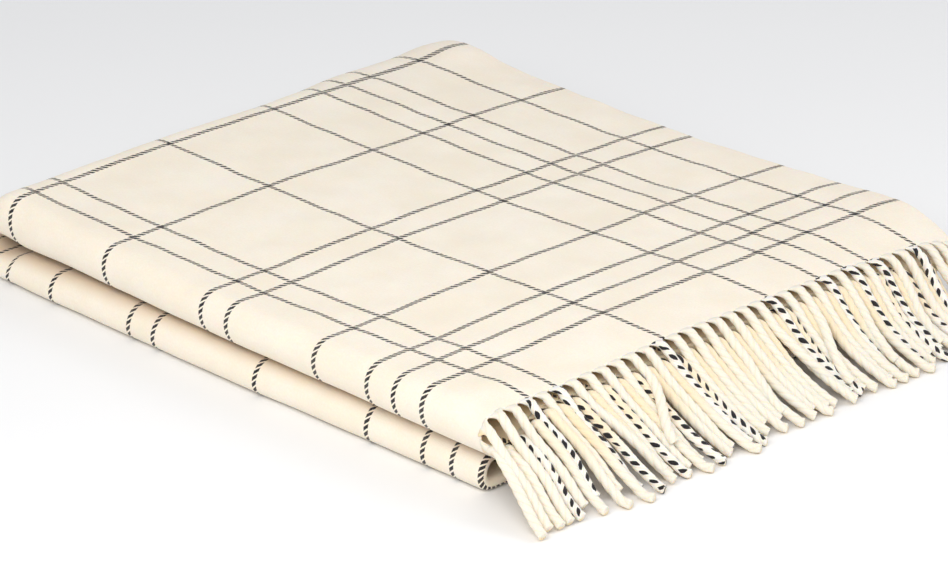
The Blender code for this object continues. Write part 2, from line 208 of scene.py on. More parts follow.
def nose_waver(along):
    """How far the nose wavers along the roll: a sine times a longer one, and a quick small one."""
    slow = WAVER * np.sin(along / WAVER_LENGTH + WAVER_START) * np.sin(along / WAVER_FADES)
    return slow + QUICK_WAVER * np.sin(along / QUICK_LENGTH)


def hairpin(outer, inner, outer_edge, inner_edge, nose_y, reach, lift, leaf, nose, along):
    """Middle surface of one section: outer leaf, half a ring round the nose, inner leaf.

    The ring's point at angle a is the middle of the leaves' ends, plus cos(a) of half their
    gap, less reach and waver times sin(a) to the power NOSE_FULLNESS, and raised by lift times
    sin(a) squared.
    """
    centre = nose_y + THICKNESS / 2 + reach
    outer_y = outer_edge + (centre - outer_edge) * leaf
    inner_y = centre + (inner_edge - centre) * (1 - leaf[::-1])
    outer_x, outer_z = outer(outer_y)
    inner_x, inner_z = inner(inner_y)
    top = np.column_stack([outer_x, outer_y, outer_z])
    low = np.column_stack([inner_x, inner_y, inner_z])
    middle = (top[-1] + low[0]) / 2
    half = (top[-1] - low[0]) / 2
    angle = np.pi * nose[1:-1, None]
    ring = middle + half * np.cos(angle)
    ring[:, 1] -= ((reach + nose_waver(along)) * np.sin(angle) ** NOSE_FULLNESS)[:, 0]
    ring[:, 2] += (lift * np.sin(angle) ** 2)[:, 0]
    return np.concatenate([top, ring, low])


print("nose wavers by", round(float(np.abs(nose_waver(np.arange(700))).max()), 1), "mm at most")


# %% Sections
LOWER_WAVER_FROM = 400


def flat(x, height):
    """Leaf at one place along X, whose height may be a function of y."""
    def point(y):
        z = height(y) if callable(height) else np.full_like(y, height)
        return np.full_like(y, x), z
    return point


def drifting(x, inner_x, height):
    """Inner leaf that lies at x by the nose and has drifted to inner_x further back."""
    def point(y):
        at = x + (inner_x - x) * ease(y, *DRIFT)
        return at, height(at, y)
    return point


def fold_rise(x):
    """How far the inner leaves part by the back fold."""
    return INNER_FOLD_RISE * (1 - ease(x, INNER_FOLD_START, INNER_FOLD_FLAT_BY))


def end_lift(x, y):
    """How far the upper inner leaf rises towards the fringe, less by the nose and far off."""
    across = ease(y, *END_LIFT_NEAR) * (1 - END_LIFT_LOST * ease(y, *END_LIFT_FAR))
    return END_LIFT * ease(x, *END_LIFT_ALONG) * across


def sink(x, y):
    """How far both inner leaves sink by the noses under the upper roll, most by the back fold."""
    return through(SINK, 1, x) * (1 - ease(y, *SINK_ACROSS))


def inner_waves(x, y):
    """Slack waves of the inner leaves, less their sink."""
    return wave(x, y) - sink(x, y)


def upper_section(x, leaf, nose):
    """Section of the upper roll at x."""
    inner_x = INNER_END - (FRINGE_END - x) * (INNER_END - INNER_FOLD_START) / (FRINGE_END - FOLD_START)

    def inner_height(x, y):
        return UPPER_INNER_LEAF + fold_rise(x) + end_lift(x, y) + inner_waves(x, y)

    return hairpin(
        flat(x, lambda y: TOP_LEAF + top_rise(x, y)), drifting(x, inner_x, inner_height),
        through(SELVEDGE, 1, x), through(SELVEDGE, 2, inner_x),
        through(NOSE, 1, x), UPPER_REACH, UPPER_LIFT, leaf, nose, x,
    )


def fold_section(turn, leaf, nose):
    """Section of the back fold at a share of its turn, blended from its near to its far table."""
    def between(first, share):
        near_x, near_z, far_x, far_z = (through(BACK_FOLD, first + k, turn) for k in range(4))
        return near_x * (1 - share) + far_x * share, near_z * (1 - share) + far_z * share

    def outer(y):
        x, z = between(1, ease(y, FAR_FROM, FAR_BY))
        left = 1 - ease(turn, 0, RISE_GONE_BY)
        return x, z + top_rise(np.maximum(x, RISE_REACHES), y) * left

    def inner(y):
        x, z = between(5, ease(y, *DRIFT))
        return x, z + inner_waves(x, y)

    bottom = ease(turn, *ROLL_CHANGE)

    def changed(upper, lower):
        return upper * (1 - bottom) + lower * bottom

    return hairpin(
        outer, inner,
        changed(through(SELVEDGE, 1, SELVEDGE_BEHIND), through(SELVEDGE, 4, SELVEDGE_BEHIND)),
        changed(through(SELVEDGE, 2, FOLD_START), through(SELVEDGE, 3, FOLD_START)),
        changed(through(NOSE, 1, FOLD_START), through(NOSE, 2, FOLD_START)),
        changed(UPPER_REACH, LOWER_REACH), changed(UPPER_LIFT, LOWER_LIFT),
        leaf, nose, FOLD_START - FOLD_LENGTH * turn,
    )


def lower_section(x, leaf, nose, inset=0.0, inner_x=None):
    """Section of the lower roll at x, or of its turned-in end, inset from the outer one."""
    inner_x = x if inner_x is None else inner_x

    def inner_height(x, y):
        return LOWER_INNER_LEAF - inset - fold_rise(x) + inner_waves(x, y)

    return hairpin(
        flat(x, FLOOR_LEAF + inset), drifting(x, inner_x, inner_height),
        through(SELVEDGE, 4, x) - inset, through(SELVEDGE, 3, x) - inset,
        through(NOSE, 2, x) + inset, LOWER_REACH - inset, LOWER_LIFT * (1 - inset / LOWER_REACH),
        leaf, nose, x + LOWER_WAVER_FROM,
    )


trial = np.linspace(0, 1, 5)
print("points of a trial section:", upper_section(300, trial, trial).shape)

# %% [markdown]
# ## Where each thread lies
#
# A windowpane check is woven in: at set counts of yarns, two dark ones take the place of two
# pale ones. A pattern painted flat over the pile would miss the noses, so the surface carries
# its own map in metres of flat cloth: first the way along the throw, then the way across it.
# The tables say at which yarn count a place on the cloth lies, counted from a dark line.

# %% Thread counts
ALONG_YARN, ACROSS_YARN = 0.038 / 24, 0.0364 / 24
TOP_COUNT = (
    # x, yarns past the first dark line
    (0, 392), (152.1, 296), (303.7, 200), (342.4, 176), (468.7, 96), (544.8, 48), (582.2, 24),
    (621.3, 0), (700, -45.7), (712, -46),
)
LOWER_COUNT = (
    # x, yarns past the first dark line
    (-2, 488), (70, 536), (192, 616), (229, 640), (379, 736), (533, 832), (609, 880), (647, 904),
    (680, 925),
)
SIDE_COUNT = (
    # y, yarns from the selvedge
    (-80, 456.7), (0, 404), (36.2, 380), (180.7, 284), (327.5, 188), (400.2, 140), (436.6, 116),
    (473.4, 92), (546.1, 44), (640, -17.9),
)


def count(table, at):
    """Yarn count at a place, straight between the rows of a table."""
    places, counts = np.array(table).T
    return np.interp(at, places, counts)


def path_length(points):
    """Running length of the lines down the first axis of an array of points."""
    steps = np.linalg.norm(np.diff(points, axis=0), axis=-1)
    return np.concatenate([np.zeros_like(steps[:1]), np.cumsum(steps, axis=0)])


print("yarns from selvedge to nose:", round(float(count(SIDE_COUNT, -40))))

# %% [markdown]
# ## The cloth
#
# The real throw is one length of cloth, and so is this one: the hairpins are stacked into one
# grid. Down its rows go the places along the cloth, across its columns the way from selvedge to
# selvedge. Rows and columns stand closer by the edges, which will be rounded there.

# %% Cloth surface
EDGE_SHARES = np.array([0, 0.0006, 0.0016, 0.0032])
EDGE_STEPS = np.array([0, 0.4, 1.0, 2.0])
LEAF_COLUMNS = np.concatenate([EDGE_SHARES, np.linspace(0.012, 1, 62)])
NOSE_COLUMNS = np.linspace(0, 1, 27)
TOP_ROWS, FOLD_ROWS, FLOOR_ROWS, TURN_ROWS, TUCK_ROWS = 84, 40, 74, 10, 9
NEXT_TO_EDGE, NEXT_TO_TUCKED_EDGE = 7, 6


def cloth_rows():
    """Every section of the cloth with its yarn count, from the fringe to the tucked end."""
    leaf, nose = LEAF_COLUMNS, NOSE_COLUMNS
    inside = np.linspace(FRINGE_END - NEXT_TO_EDGE, FOLD_START, TOP_ROWS)
    tops = np.concatenate([FRINGE_END - EDGE_STEPS, inside])
    rows = [upper_section(x, leaf, nose) for x in tops]
    counts = list(count(TOP_COUNT, tops))

    folds = [fold_section(turn, leaf, nose) for turn in np.linspace(0, 1, FOLD_ROWS + 1)[1:]]
    column = len(leaf) * 2 // 3
    over_fold = path_length(np.array([row[column] for row in [rows[-1]] + folds]))
    share = over_fold[1:] / over_fold[-1]
    start, end = count(TOP_COUNT, FOLD_START), count(LOWER_COUNT, FOLD_START)
    rows += folds
    counts += list(start + (end - start) * share)

    for way in np.linspace(0, 1, FLOOR_ROWS + 1)[1:]:
        x = FOLD_START + (TURN_IN - FOLD_START) * way
        inner_x = INNER_FOLD_START + (TURN_IN - INNER_FOLD_START) * way
        rows.append(lower_section(x, leaf, nose, 0.0, inner_x))
        counts.append(float(count(LOWER_COUNT, x)))

    turned_from, outer_turn = LOWER_COUNT[-1][1], TURN_RADIUS + THICKNESS / 2
    for angle in np.linspace(0, np.pi, TURN_ROWS + 1)[1:]:
        x = TURN_IN + TURN_RADIUS * np.sin(angle)
        rows.append(lower_section(x, leaf, nose, TURN_RADIUS * (1 - np.cos(angle))))
        counts.append(turned_from + outer_turn * angle / ALONG_YARN / 1000)
    inside = np.linspace(0, TUCK_LENGTH - NEXT_TO_TUCKED_EDGE, TUCK_ROWS + 1)[1:]
    for back in np.concatenate([inside, TUCK_LENGTH - EDGE_STEPS[::-1]]):
        rows.append(lower_section(TURN_IN - back, leaf, nose, 2 * TURN_RADIUS))
        counts.append(turned_from + (outer_turn * np.pi + back) / ALONG_YARN / 1000)
    return np.array(rows), np.array(counts)


def side_counts(middle):
    """Yarns from the selvedge: from y on the outer leaf, and then on by length along the section.

    Where the end is turned in, each yarn runs straight over the turn.
    """
    outer = len(LEAF_COLUMNS)
    sides = count(SIDE_COUNT, middle[..., 1])
    lengths = path_length(middle.transpose(1, 0, 2)).T
    past = (lengths[:, outer - 1:] - lengths[:, outer - 1:outer]) / ACROSS_YARN / 1000
    sides[:, outer - 1:] = sides[:, outer - 1:outer] + past
    turned = len(middle) - TURN_ROWS - TUCK_ROWS - len(EDGE_STEPS)
    sides[turned:] = sides[turned - 1]
    return sides


middle, along_count = cloth_rows()
across_count = side_counts(middle)
print("sections", middle.shape[0], "points in each", middle.shape[1])


# %% Creases
# Shares of the nose's half ring over which the painted crease shade grows on the upper and the lower
# roll, and the selvedge strip that the inner side's painted warm shade leaves out.
UPPER_CREASE, LOWER_CREASE, SELVEDGE_STRIP = (0.78, 1.0), (0.66, 0.98), 0.12


def crease_shades():
    """How far each point lies in a crease, which sets its painted shade: 0 outside, 1 where the
    cloth has turned in round a nose.

    It rises with the share of the nose's half ring, later on the upper roll than on the lower
    one, which the upper one overhangs. The second array is for the cloth's inner side, which is
    all crease, under painted warm shade, but for the strip by the selvedges.
    """
    leaf, ring = len(LEAF_COLUMNS), NOSE_COLUMNS[1:-1]
    share = np.concatenate([np.zeros(leaf), ring, np.ones(leaf)])
    upper, lower = ease(share, *UPPER_CREASE), ease(share, *LOWER_CREASE)
    tops = len(EDGE_STEPS) + TOP_ROWS
    bottom = ease(np.arange(len(middle)), tops, tops + FOLD_ROWS)[:, None]
    from_selvedge = np.concatenate([LEAF_COLUMNS, np.ones(len(ring)), LEAF_COLUMNS[::-1]])
    inside = np.broadcast_to(ease(from_selvedge, 0, SELVEDGE_STRIP), middle.shape[:2])
    return upper * (1 - bottom) + lower * bottom, inside


outside_shade, inside_shade = crease_shades()
print("share of the outer side in creases:", round(float(outside_shade.mean()), 2))

# %% [markdown]
# ## The cloth's thickness
#
# A solidify modifier would give the sheet a thickness, but with square edges. So each point is
# moved half the thickness outwards and inwards along the surface's own direction, and the half
# thickness shrinks to a sixth at the edges, which gives the soft round edge of a brushed cloth.

# %% Cloth thickness
EDGE_PROFILE = np.array([0.17, 0.62, 0.92, 1.0])


def unit(vectors):
    """Vectors divided by their length."""
    return vectors / np.maximum(np.linalg.norm(vectors, axis=-1, keepdims=True), 1e-9)


def edge_taper(shape):
    """Half thickness: whole inside, and a quarter circle down to a sixth at all four edges."""
    steps = len(EDGE_PROFILE)
    down, side = (np.ones(size) for size in shape)
    for share in (down, side):
        share[:steps] = EDGE_PROFILE
        share[-steps:] = EDGE_PROFILE[::-1]
    return np.minimum(down[:, None], side[None, :]) * THICKNESS / 2


def cloth_sides(middle):
    """Outer and inner surface: the middle moved along the cross product of its two directions."""
    normal = unit(np.cross(np.gradient(middle, axis=0), np.gradient(middle, axis=1)))
    half = edge_taper(middle.shape[:2])[..., None]
    return middle + normal * half, middle - normal * half


def grid_faces(rows, columns, first=0):
    """Four-sided faces of a grid of points, numbered from first."""
    index = np.arange(rows * columns).reshape(rows, columns) + first
    corners = (index[:-1, :-1], index[1:, :-1], index[1:, 1:], index[:-1, 1:])
    return np.stack(corners, axis=-1).reshape(-1, 4)


def closed_sheet_faces(rows, columns):
    """Faces of both surfaces and of the rim that joins them."""
    outer = grid_faces(rows, columns)
    inner = grid_faces(rows, columns, rows * columns)[:, ::-1]
    index = np.arange(rows * columns).reshape(rows, columns)
    border = np.concatenate([index[:-1, 0], index[-1, :-1], index[:0:-1, -1], index[0, :0:-1]])
    after = np.roll(border, -1)
    rim = np.stack([border, border + rows * columns, after + rows * columns, after], axis=-1)
    return np.concatenate([outer, inner, rim])


outer_side, inner_side = cloth_sides(middle)
thickness = np.linalg.norm(outer_side - inner_side, axis=-1)
print("thickness in the middle", round(float(thickness.max()), 2), "mm")

# %% [markdown]
# ## Finishes as expressions
#
# A material is a web of small nodes. Written as sums and products it stays readable, so a term
# wraps a socket and each operator adds the Math node that does it. Colours go through Mix, and
# every other node comes from one method.

# %% Terms and finishes
class Term:
    """A number that varies over a surface."""

    def __init__(self, finish, socket):
        self.finish = finish
        self.socket = socket

    def __add__(self, other):
        return self.finish.math("ADD", self, other)

    __radd__ = __add__

    def __sub__(self, other):
        return self.finish.math("SUBTRACT", self, other)

    def __rsub__(self, other):
        return self.finish.math("SUBTRACT", other, self)

    def __mul__(self, other):
        return self.finish.math("MULTIPLY", self, other)

    __rmul__ = __mul__

    def __truediv__(self, other):
        return self.finish.math("DIVIDE", self, other)

    def __rtruediv__(self, other):
        return self.finish.math("DIVIDE", other, self)

    def __mod__(self, other):
        return self.finish.math("FLOORED_MODULO", self, other)

    def __abs__(self):
        return self.finish.math("ABSOLUTE", self)


class Finish:
    """A material whose nodes are added by expressions."""

    def __init__(self, name, roughness):
        self.material = bpy.data.materials.new(name)
        self.material.use_nodes = True
        self.tree = self.material.node_tree
        self.shader = self.tree.nodes["Principled BSDF"]
        self.shader.inputs["Roughness"].default_value = roughness
        self.shader.inputs["Metallic"].default_value = 0.0

    def feed(self, socket, value):
        """Links a term or a socket, or sets a plain value."""
        if isinstance(value, Term):
            value = value.socket
        if isinstance(value, bpy.types.NodeSocket):
            self.tree.links.new(value, socket)
        else:
            socket.default_value = value

    def add(self, kind, settings, values):
        """A node of a type, with its settings made first and then its sockets fed."""
        node = self.tree.nodes.new("ShaderNode" + kind)
        for name, value in settings.items():
            setattr(node, name, value)
        for name, value in values.items():
            self.feed(node.inputs[name], value)
        return node

    def math(self, operation, *values, clamp=False):
        settings = {"operation": operation, "use_clamp": clamp}
        return Term(self, self.add("Math", settings, dict(enumerate(values))).outputs[0])

    def lowest(self, terms):
        """The least of several terms."""
        least = terms[0]
        for term in terms[1:]:
            least = self.math("MINIMUM", least, term)
        return least

    def step(self, term, low, high):
        """0 below low, 1 above high, smooth between."""
        values = {"Value": term, "From Min": low, "From Max": high}
        return Term(self, self.add("MapRange", {"interpolation_type": "SMOOTHSTEP"}, values).outputs[0])

    def blend(self, factor, first, second):
        """A colour between two."""
        values = {"Factor": factor, 6: first, 7: second}
        return self.add("Mix", {"data_type": "RGBA"}, values).outputs[2]

    def noise(self, place, scale, detail=2.0, roughness=0.5):
        values = {"Vector": place, "Scale": scale, "Detail": detail, "Roughness": roughness}
        return self.add("TexNoise", {}, values)

    def parts(self, vector):
        """The three numbers of a vector."""
        split = self.add("SeparateXYZ", {}, {"Vector": vector})
        return [Term(self, socket) for socket in split.outputs]

    def vector(self, *values):
        return self.add("CombineXYZ", {}, dict(enumerate(values))).outputs[0]

    def value_of(self, attribute):
        return Term(self, self.add("Attribute", {"attribute_name": attribute}, {}).outputs["Fac"])


print("terms ready")

# %% [markdown]
# ## Brushed wool with a woven check
#
# The cloth is a twill: each yarn goes over two others and under two, and the next one steps
# aside by one. Where two dark yarns run through it, they show as short slanted dashes, a little
# longer than they are apart, because the nap is brushed over their ends. So the finish works
# out how far each spot is from a dark line and where it lies along the twill's slant. Deep in
# the creases light bounces between cream walls and turns tan, and the finish paints that shade
# into the colour: painted tan shade for a depth of up to 1, a crease, and painted warm shade
# from there to 2, the cloth's inner side.

# %% Brushed wool
DARK_LINES = (0, 24, 48, 96, 176, 200, 296, 392)
SIDE_LINES = (0, 48, 72, 96, 144, 240, 336, 360)
REPEAT, FIRST_SIDE_LINE, CLEAR = 440, 44, 20
TWILL, DASH_LEAN, DASH_ACROSS, DASH_ALONG = 4.0, 0.85, (1.35, 1.85), (1.15, 1.5)
WEFT_FULLNESS, WARP_FULLNESS, YARN_STRAYS = 1.15, 1.0, 0.7
CREAM = (0.93, 0.855, 0.748, 1)
CREAM_DEEP = (0.86, 0.765, 0.62, 1)
CREVICE_SHADE = (0.70, 0.57, 0.43, 1)
WARM_SHADE = (0.93, 0.77, 0.53, 1)
CHARCOAL = (0.018, 0.016, 0.018, 1)
CHARCOAL_NAP = (0.042, 0.038, 0.038, 1)


def dark_dashes(finish, yarn, crossing, lines, first, fullness):
    """1 on the dashes along each line: close to the line and on a crest of the crossing count.

    The crest leans by a share of the way across the line, so that each dash is a little slanted.
    A fuller yarn spreads its dashes further across the line.
    """
    place = (yarn + (CLEAR - first)) % REPEAT
    from_line = finish.lowest([abs(place - (line + CLEAR)) for line in lines])
    from_crest = abs((crossing - yarn * DASH_LEAN) % TWILL - TWILL / 2)
    across_line = 1 - finish.step(from_line / fullness, *DASH_ACROSS)
    return across_line * (1 - finish.step(from_crest, *DASH_ALONG))


def soften(finish, depth):
    """Fuzz at grazing angles, and light that seeps through the fibres and comes out warmer."""
    shader = finish.shader
    shader.inputs["Sheen Weight"].default_value = 0.12
    shader.inputs["Sheen Roughness"].default_value = 0.6
    shader.inputs["Specular IOR Level"].default_value = 0.15
    shader.inputs["Subsurface Weight"].default_value = 0.35
    shader.inputs["Subsurface Radius"].default_value = (1.0, 0.62, 0.30)
    shader.inputs["Subsurface Scale"].default_value = depth


def brushed_wool():
    """Cream yarns with dark dashes, painted tan shade in the creases and painted warm shade on the inner
    side, with a soft relief.
    """
    finish = Finish("brushed wool", 0.92)
    thread_map = finish.add("UVMap", {"uv_map": "thread map"}, {}).outputs[0]
    fuzz = finish.noise(thread_map, 900.0, 2.0).outputs["Color"]
    stray_along, stray_across, _ = finish.parts(fuzz)
    along, across, _ = finish.parts(thread_map)
    along = along / ALONG_YARN + (stray_along - 0.5) * YARN_STRAYS
    across = across / ACROSS_YARN + (stray_across - 0.5) * YARN_STRAYS
    slant = across - along
    weft_dark = dark_dashes(finish, along, across, DARK_LINES, 0, WEFT_FULLNESS)
    warp_dark = dark_dashes(finish, across, along, SIDE_LINES, FIRST_SIDE_LINE, WARP_FULLNESS)
    worn = Term(finish, finish.noise(thread_map, 70.0, 2.0).outputs["Fac"])
    dark = finish.math("MAXIMUM", weft_dark, warp_dark) * (0.95 + finish.step(worn, 0.35, 0.6) * 0.05)

    warp_on_top = finish.step(abs(slant % TWILL - TWILL / 2), 0.8, 1.2)
    weft_round = along % 1.0 - 0.5
    warp_round = across % 1.0 - 0.5
    weft_height = 1 - weft_round * weft_round * 4
    warp_height = 1 - warp_round * warp_round * 4
    height = warp_height * warp_on_top + weft_height * (1 - warp_on_top)
    nap = Term(finish, finish.noise(thread_map, 420.0, 5.0, 0.7).outputs["Fac"])
    patches = Term(finish, finish.noise(thread_map, 14.0, 4.0, 0.6).outputs["Fac"])

    deep = finish.value_of("depth")
    tone = finish.step(nap * 0.6 + patches * 0.7, 0.45, 0.9) * 0.8
    pale = finish.blend(tone, CREAM_DEEP, CREAM)
    # Painted shade: the creases by the noses are tinted a darker tan, up to a depth of 1.
    pale = finish.blend(finish.lowest([deep, 1.0]), pale, CREVICE_SHADE)
    # Painted warm shade: the cloth's inner side, seen through the fringe's gaps and in the rolls' open
    # ends, is tinted golden tan.
    pale = finish.blend(finish.step(deep, 1.0, 2.0), pale, WARM_SHADE)
    charcoal = finish.blend(finish.step(nap, 0.45, 0.7), CHARCOAL, CHARCOAL_NAP)
    colour = finish.blend(dark, pale, charcoal)
    finish.feed(finish.shader.inputs["Base Color"], colour)

    relief = height * 0.35 + nap * 0.9 + patches * 0.5
    values = {"Height": relief, "Strength": 0.5, "Distance": 0.0005}
    finish.feed(finish.shader.inputs["Normal"], finish.add("Bump", {}, values).outputs[0])
    soften(finish, 0.003)
    return finish.material


wool = brushed_wool()
print("nodes in", wool.name, len(wool.node_tree.nodes))

# %% [markdown]
# ## The cloth as one piece
#
# The mesh is made straight from points and faces, because no modifier knows the yarn counts that
# go into its map. It stays at the origin, as its points already lie where they belong.

# %% Cloth piece
def make_mesh(name, points, face_groups, map_groups, finish, **attributes):
    """Object at the origin from points in millimetres, with a map and values for each point."""
    mesh = bpy.data.meshes.new(name)
    faces = [face for group in face_groups for face in group.tolist()]
    mesh.from_pydata((points * 0.001 + SHIFT).tolist(), [], faces)
    layer = mesh.uv_layers.new(name="thread map")
    corners = np.concatenate([group.reshape(-1, 2) for group in map_groups])
    layer.data.foreach_set("uv", corners.astype(np.float32).ravel())
    for key, values in attributes.items():
        made = mesh.attributes.new(key, "FLOAT", "POINT")
        made.data.foreach_set("value", values.astype(np.float32).ravel())
    mesh.materials.append(finish)
    mesh.shade_smooth()
    thing = bpy.data.objects.new(name, mesh)
    bpy.context.collection.objects.link(thing)
    print(name, len(mesh.polygons), "faces")
    return thing


rows, columns = middle.shape[:2]
sheet_faces = closed_sheet_faces(rows, columns)
points = np.concatenate([outer_side.reshape(-1, 3), inner_side.reshape(-1, 3)])
thread = np.stack([
    np.broadcast_to(along_count[:, None], across_count.shape) * ALONG_YARN,
    across_count * ACROSS_YARN,
], axis=-1).reshape(-1, 2)
thread = np.concatenate([thread, thread])
# The depth attribute carries the painted shade: crease shade up to 1, and the inner side's warm shade at
# 2.
shade_depths = np.stack([outside_shade, 2 * inside_shade])
cloth = make_mesh("throw_cloth", points, [sheet_faces], [thread[sheet_faces]], wool, depth=shade_depths)
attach(cloth, "root")
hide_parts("cloth")

# %% [markdown]
# ## The fringe
#
# At the throw's end the warp yarns are gathered in bunches, and each bunch is twisted into a
# strand. The strands fall over the end and come to rest on the floor, side by side, and a few
# stray over their neighbours. A simulation of 71 thin ropes would be slow and never lie as in
# the photograph, so a table says how a strand falls, and each one drifts into a slot of its own.

# %% Strand paths
STRANDS, STRIP_WIDTH, GAP = 71, 7.0, 0.5
FALL = (
    # along, out of the top leaf, height left, out of the inner leaf, height left
    (0.00, 0, 1.00, 0, 1.00), (0.08, 8, 0.90, 9, 0.97), (0.20, 18, 0.74, 21, 0.80),
    (0.40, 37, 0.49, 40, 0.53), (0.60, 54, 0.28, 58, 0.31), (0.78, 69, 0.09, 75, 0.13),
    (0.92, 81, 0.00, 89, 0.00), (1.00, 88, 0.00, 97, 0.00),
)
LEAN = (
    # y of the root, drift of the tip
    (-60, -16), (0, 8), (100, 26), (250, 36), (450, 32), (610, 20),
)
LEAN_REACH, LEAN_BEND, SLOT_FIRST, SLOT_PITCH, SLOT_REACHED = 80.0, 1.2, -58.0, 9.2, (0.02, 0.55)
NOSE_SPREAD, UNEVEN_FALL, UNEVEN_SIDE = 18.0, 0.05, 0.6
STRAYS = (
    # strand, drift of the tip, lift over its neighbours, share of its length
    (2, 12, 6.0, 0.86), (5, -13, 6.0, 0.83), (9, -12, 6.0, 0.80), (12, -30, 8.0, 0.84),
    (15, 13, 6.0, 0.90), (18, -12, 6.0, 0.84), (24, -40, 9.0, 0.70), (28, 11, 5.0, 0.85),
    (31, -9, 5.0, 0.84),
)
KEPT, KEPT_UNDER, KEPT_UNEVEN = 0.87, 0.08, 0.05
LEAF_FINE, NOSE_FINE = np.linspace(0, 1, 160), np.linspace(0, 1, 40)
REST = 4.9
OUT_SALT, ASIDE_SALT, PITCH_SALT, PHASE_SALT, SWAY_SALT, HAND_SALT, KEPT_SALT = 1, 2, 5, 7, 9, 11, 13
NUMBER_STEP, SALT_STEP, LARGE = 12.9898, 78.233, 43758.5453


def chance(number, salt):
    """Even spread from -1 to 1 that looks random: the fraction of a large multiple of a sine.

    The salt keeps one use of it from another.
    """
    wild = np.abs(np.sin(number * NUMBER_STEP + salt * SALT_STEP)) * LARGE
    return 2 * np.modf(wild)[0] - 1


def even_line(section, shares):
    """Points at shares of a section's length from selvedge to selvedge."""
    fine = section(LEAF_FINE, NOSE_FINE)
    length = path_length(fine)
    at = np.asarray(shares) * length[-1]
    return np.column_stack([np.interp(at, length, fine[:, axis]) for axis in range(3)])


def falling(roots, turn, share):
    """Paths of the end fringe from its roots to the floor.

    turn is 0 for a strand of the top leaf and 1 for one of the inner leaf, and share has each
    strand's own steps. Out and height come from the table, and each strand drifts aside into
    its own slot on the floor.
    """
    place = np.arange(len(roots))
    rank = np.empty(len(roots))
    rank[np.argsort(roots[:, 1] - NOSE_SPREAD * np.sin(np.pi * turn))] = place
    slots = (SLOT_FIRST + rank * SLOT_PITCH)[:, None]
    turn = turn[:, None]
    root_x, root_y, root_z = (roots[:, axis, None] for axis in range(3))
    out = through(FALL, 1, share) * (1 - turn) + through(FALL, 3, share) * turn
    left = through(FALL, 2, share) * (1 - turn) + through(FALL, 4, share) * turn
    x = root_x + out * (1 + UNEVEN_FALL * chance(place, OUT_SALT)[:, None])
    beyond = np.maximum(x - FRINGE_END - STRIP_WIDTH, 0) / LEAN_REACH
    y = root_y + (slots - root_y) * ease(share, *SLOT_REACHED)
    y = y + through(LEAN, 1, slots) * beyond**LEAN_BEND
    y = y + UNEVEN_SIDE * chance(place, ASIDE_SALT)[:, None] * np.sin(np.pi * share)
    z = REST + (root_z - REST) * np.maximum(left, 0)
    return np.stack([x, y, z], axis=-1)


ROOT_PLACES = (np.arange(STRANDS) + 0.5) / STRANDS
ROOT_START = -1.5
neck_places = FRINGE_END + np.array([ROOT_START, 0.3, 1.7, 3.2, 5.2])
necks = np.stack([
    even_line(lambda leaf, nose: upper_section(x, leaf, nose), ROOT_PLACES) for x in neck_places
], axis=1)
roots = even_line(
    lambda leaf, nose: upper_section(FRINGE_END + GAP + STRIP_WIDTH, leaf, nose), ROOT_PLACES
)
past_nose = np.arange(STRANDS) - np.argmin(roots[:, 1])
turn = ease(past_nose, -2, 4)
fall_shares = np.concatenate([np.linspace(0, 0.985, 72), [0.994, 1.0]])
kept = KEPT + KEPT_UNDER * turn + KEPT_UNEVEN * chance(np.arange(STRANDS), KEPT_SALT)
for strand, _, _, share in STRAYS:
    kept[strand] = share
paths = np.concatenate([necks, falling(roots, turn, kept[:, None] * fall_shares)], axis=1)
print("strands", paths.shape[0], "length of the first", round(float(path_length(paths[0])[-1])), "mm")

# %% [markdown]
# ## The shape of a strand
#
# A real strand has three plies wound round each other. At the root it is as wide as its share
# of the cloth; a finger's breadth out it has closed to a round cord, which leaves a small hole
# beside it. Hair curves would give no true plies, so every strand is an oval carried along its
# path, with a lobe for each ply, and the lobes turn as it goes.

# %% Strand shape
TWIST, PLIES, PLY_GROOVE, SIDES, TIP = 36.0, 3, 0.10, 20, 0.8
UNEVEN_TWIST, TWISTED_BY = 0.12, 14
OPEN_WAY = unit(np.array([0.6, -0.1, 0.8]))
HALF_WIDTH = (
    # from the edge, half width, half height, depth of the twist
    (-1.5, 9.2, 1.3, 0.0), (0.3, 8.9, 1.5, 0.0), (1.7, 7.4, 1.9, 0.1), (3.2, 6.3, 2.6, 0.3),
    (5.2, 5.6, 3.2, 0.6), (9.0, 5.2, 3.9, 0.9), (14.0, 5.1, 4.5, 1.0), (20.0, 5.1, 4.7, 1.0),
    (140.0, 5.1, 4.7, 1.0),
)


def frames(paths, first_side):
    """Side and up along each path: the side is carried on from step to step, square to the path."""
    ahead = unit(np.gradient(paths, axis=1))
    side = np.empty_like(paths)
    now = first_side
    for k in range(paths.shape[1]):
        now = unit(now - np.sum(now * ahead[:, k], axis=-1, keepdims=True) * ahead[:, k])
        side[:, k] = now
    return side, np.cross(ahead, side)


